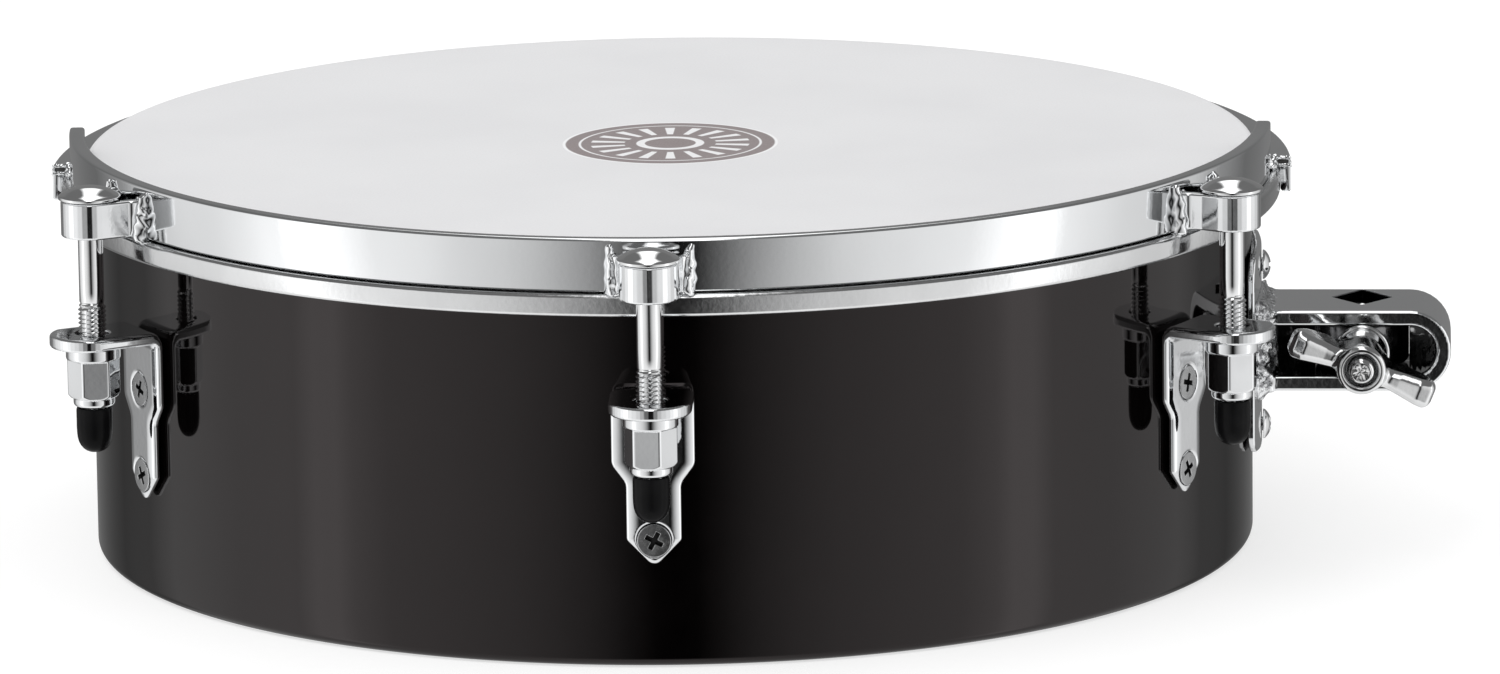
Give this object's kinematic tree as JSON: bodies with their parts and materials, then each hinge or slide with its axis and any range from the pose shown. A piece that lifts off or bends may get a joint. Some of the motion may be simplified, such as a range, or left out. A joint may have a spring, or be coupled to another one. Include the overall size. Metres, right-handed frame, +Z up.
{
  "type": "timbale",
  "caption": "Shallow black steel timbale with a white head under a flat chrome rim, bolt-and-bracket tension lugs and a side clamp for a mounting rod.",
  "frame": {"origin": "centre of the head's playing surface", "axes": "+Z up out of the head, -Y towards the player's front view, +X towards the rod clamp"},
  "size_m": [0.3952, 0.3858, 0.119],
  "materials": {
    "shell_lacquer": "gloss black lacquer",
    "head_film": "smooth white film",
    "hoop_metal": "bright",
    "rim_chrome": "polished",
    "bracket_chrome": "polished",
    "bolt_chrome": "polished",
    "nut_chrome": "polished",
    "mount_chrome": "polished",
    "clamp_chrome": "polished",
    "screw_metal": "plated",
    "cap_rubber": "satin"
  },
  "bodies": {
    "drum_body": {"shell": "shell_lacquer", "head_film": "head_film", "lug_bracket_1": "bracket_chrome", "bracket_screw_1": "screw_metal", "screw_nut_1": "screw_metal", "bracket_screw_2": "screw_metal", "screw_nut_2": "screw_metal", "lug_bracket_2": "bracket_chrome", "bracket_screw_3": "screw_metal", "screw_nut_3": "screw_metal", "bracket_screw_4": "screw_metal", "screw_nut_4": "screw_metal", "lug_bracket_3": "bracket_chrome", "bracket_screw_5": "screw_metal", "screw_nut_5": "screw_metal", "bracket_screw_6": "screw_metal", "screw_nut_6": "screw_metal", "lug_bracket_4": "bracket_chrome", "bracket_screw_7": "screw_metal", "screw_nut_7": "screw_metal", "bracket_screw_8": "screw_metal", "screw_nut_8": "screw_metal", "lug_bracket_5": "bracket_chrome", "bracket_screw_9": "screw_metal", "screw_nut_9": "screw_metal", "bracket_screw_10": "screw_metal", "screw_nut_10": "screw_metal", "lug_bracket_6": "bracket_chrome", "bracket_screw_11": "screw_metal", "screw_nut_11": "screw_metal", "bracket_screw_12": "screw_metal", "screw_nut_12": "screw_metal", "mount_bracket": "mount_chrome", "mount_screw_1": "screw_metal", "mount_nut_1": "screw_metal", "mount_screw_2": "screw_metal", "mount_nut_2": "screw_metal", "clamp_washer": "clamp_chrome"},
    "rim_assembly": {"rim": "rim_chrome", "flesh_hoop": "hoop_metal", "tension_bolt_1": "bolt_chrome", "tension_bolt_2": "bolt_chrome", "tension_bolt_3": "bolt_chrome", "tension_bolt_4": "bolt_chrome", "tension_bolt_5": "bolt_chrome", "tension_bolt_6": "bolt_chrome"},
    "eyebolt": {"eyebolt": "clamp_chrome"},
    "wing_nut": {"wing_nut": "clamp_chrome"},
    "tension_nut_1": {"hex_nut_1": "nut_chrome", "rubber_cap_1": "cap_rubber"},
    "tension_nut_2": {"hex_nut_2": "nut_chrome", "rubber_cap_2": "cap_rubber"},
    "tension_nut_3": {"hex_nut_3": "nut_chrome", "rubber_cap_3": "cap_rubber"},
    "tension_nut_4": {"hex_nut_4": "nut_chrome", "rubber_cap_4": "cap_rubber"},
    "tension_nut_5": {"hex_nut_5": "nut_chrome", "rubber_cap_5": "cap_rubber"},
    "tension_nut_6": {"hex_nut_6": "nut_chrome", "rubber_cap_6": "cap_rubber"}
  },
  "joints": [
    {"name": "rim_travel", "type": "slide", "parent": "drum_body", "child": "rim_assembly", "axis": [0, 0, 1], "range_m": [-0.002, 0.003], "stiffness_N_per_m": 100000},
    {"name": "nut_1_turn", "type": "hinge", "parent": "drum_body", "child": "tension_nut_1", "pos_m": [-0.00632, -0.18089, -0.0469], "axis": [0, 0, 1], "range_deg": [-866, 578]},
    {"name": "nut_2_turn", "type": "hinge", "parent": "drum_body", "child": "tension_nut_2", "pos_m": [0.1535, -0.09592, -0.0469], "axis": [0, 0, 1], "range_deg": [-866, 578]},
    {"name": "nut_3_turn", "type": "hinge", "parent": "drum_body", "child": "tension_nut_3", "pos_m": [0.15981, 0.08497, -0.0469], "axis": [0, 0, 1], "range_deg": [-866, 578]},
    {"name": "nut_4_turn", "type": "hinge", "parent": "drum_body", "child": "tension_nut_4", "pos_m": [0.00632, 0.18089, -0.0469], "axis": [0, 0, 1], "range_deg": [-866, 578]},
    {"name": "nut_5_turn", "type": "hinge", "parent": "drum_body", "child": "tension_nut_5", "pos_m": [-0.1535, 0.09592, -0.0469], "axis": [0, 0, 1], "range_deg": [-866, 578]},
    {"name": "nut_6_turn", "type": "hinge", "parent": "drum_body", "child": "tension_nut_6", "pos_m": [-0.15981, -0.08497, -0.0469], "axis": [0, 0, 1], "range_deg": [-866, 578]},
    {"name": "eyebolt_slide", "type": "slide", "parent": "drum_body", "child": "eyebolt", "axis": [-0.0698, -0.9976, 0], "range_m": [-0.005, 0]},
    {"name": "wing_nut_turn", "type": "hinge", "parent": "drum_body", "child": "wing_nut", "pos_m": [0.19453, -0.0136, -0.0568], "axis": [-0.0698, -0.9976, 0], "range_deg": [-2, 1802]}
  ],
  "couplings": [
    {"joint": "nut_1_turn", "follows": "rim_travel", "rad_per_m": -5026.5},
    {"joint": "nut_2_turn", "follows": "rim_travel", "rad_per_m": -5026.5},
    {"joint": "nut_3_turn", "follows": "rim_travel", "rad_per_m": -5026.5},
    {"joint": "nut_4_turn", "follows": "rim_travel", "rad_per_m": -5026.5},
    {"joint": "nut_5_turn", "follows": "rim_travel", "rad_per_m": -5026.5},
    {"joint": "nut_6_turn", "follows": "rim_travel", "rad_per_m": -5026.5},
    {"joint": "wing_nut_turn", "follows": "eyebolt_slide", "rad_per_m": -6283.2}
  ]
}
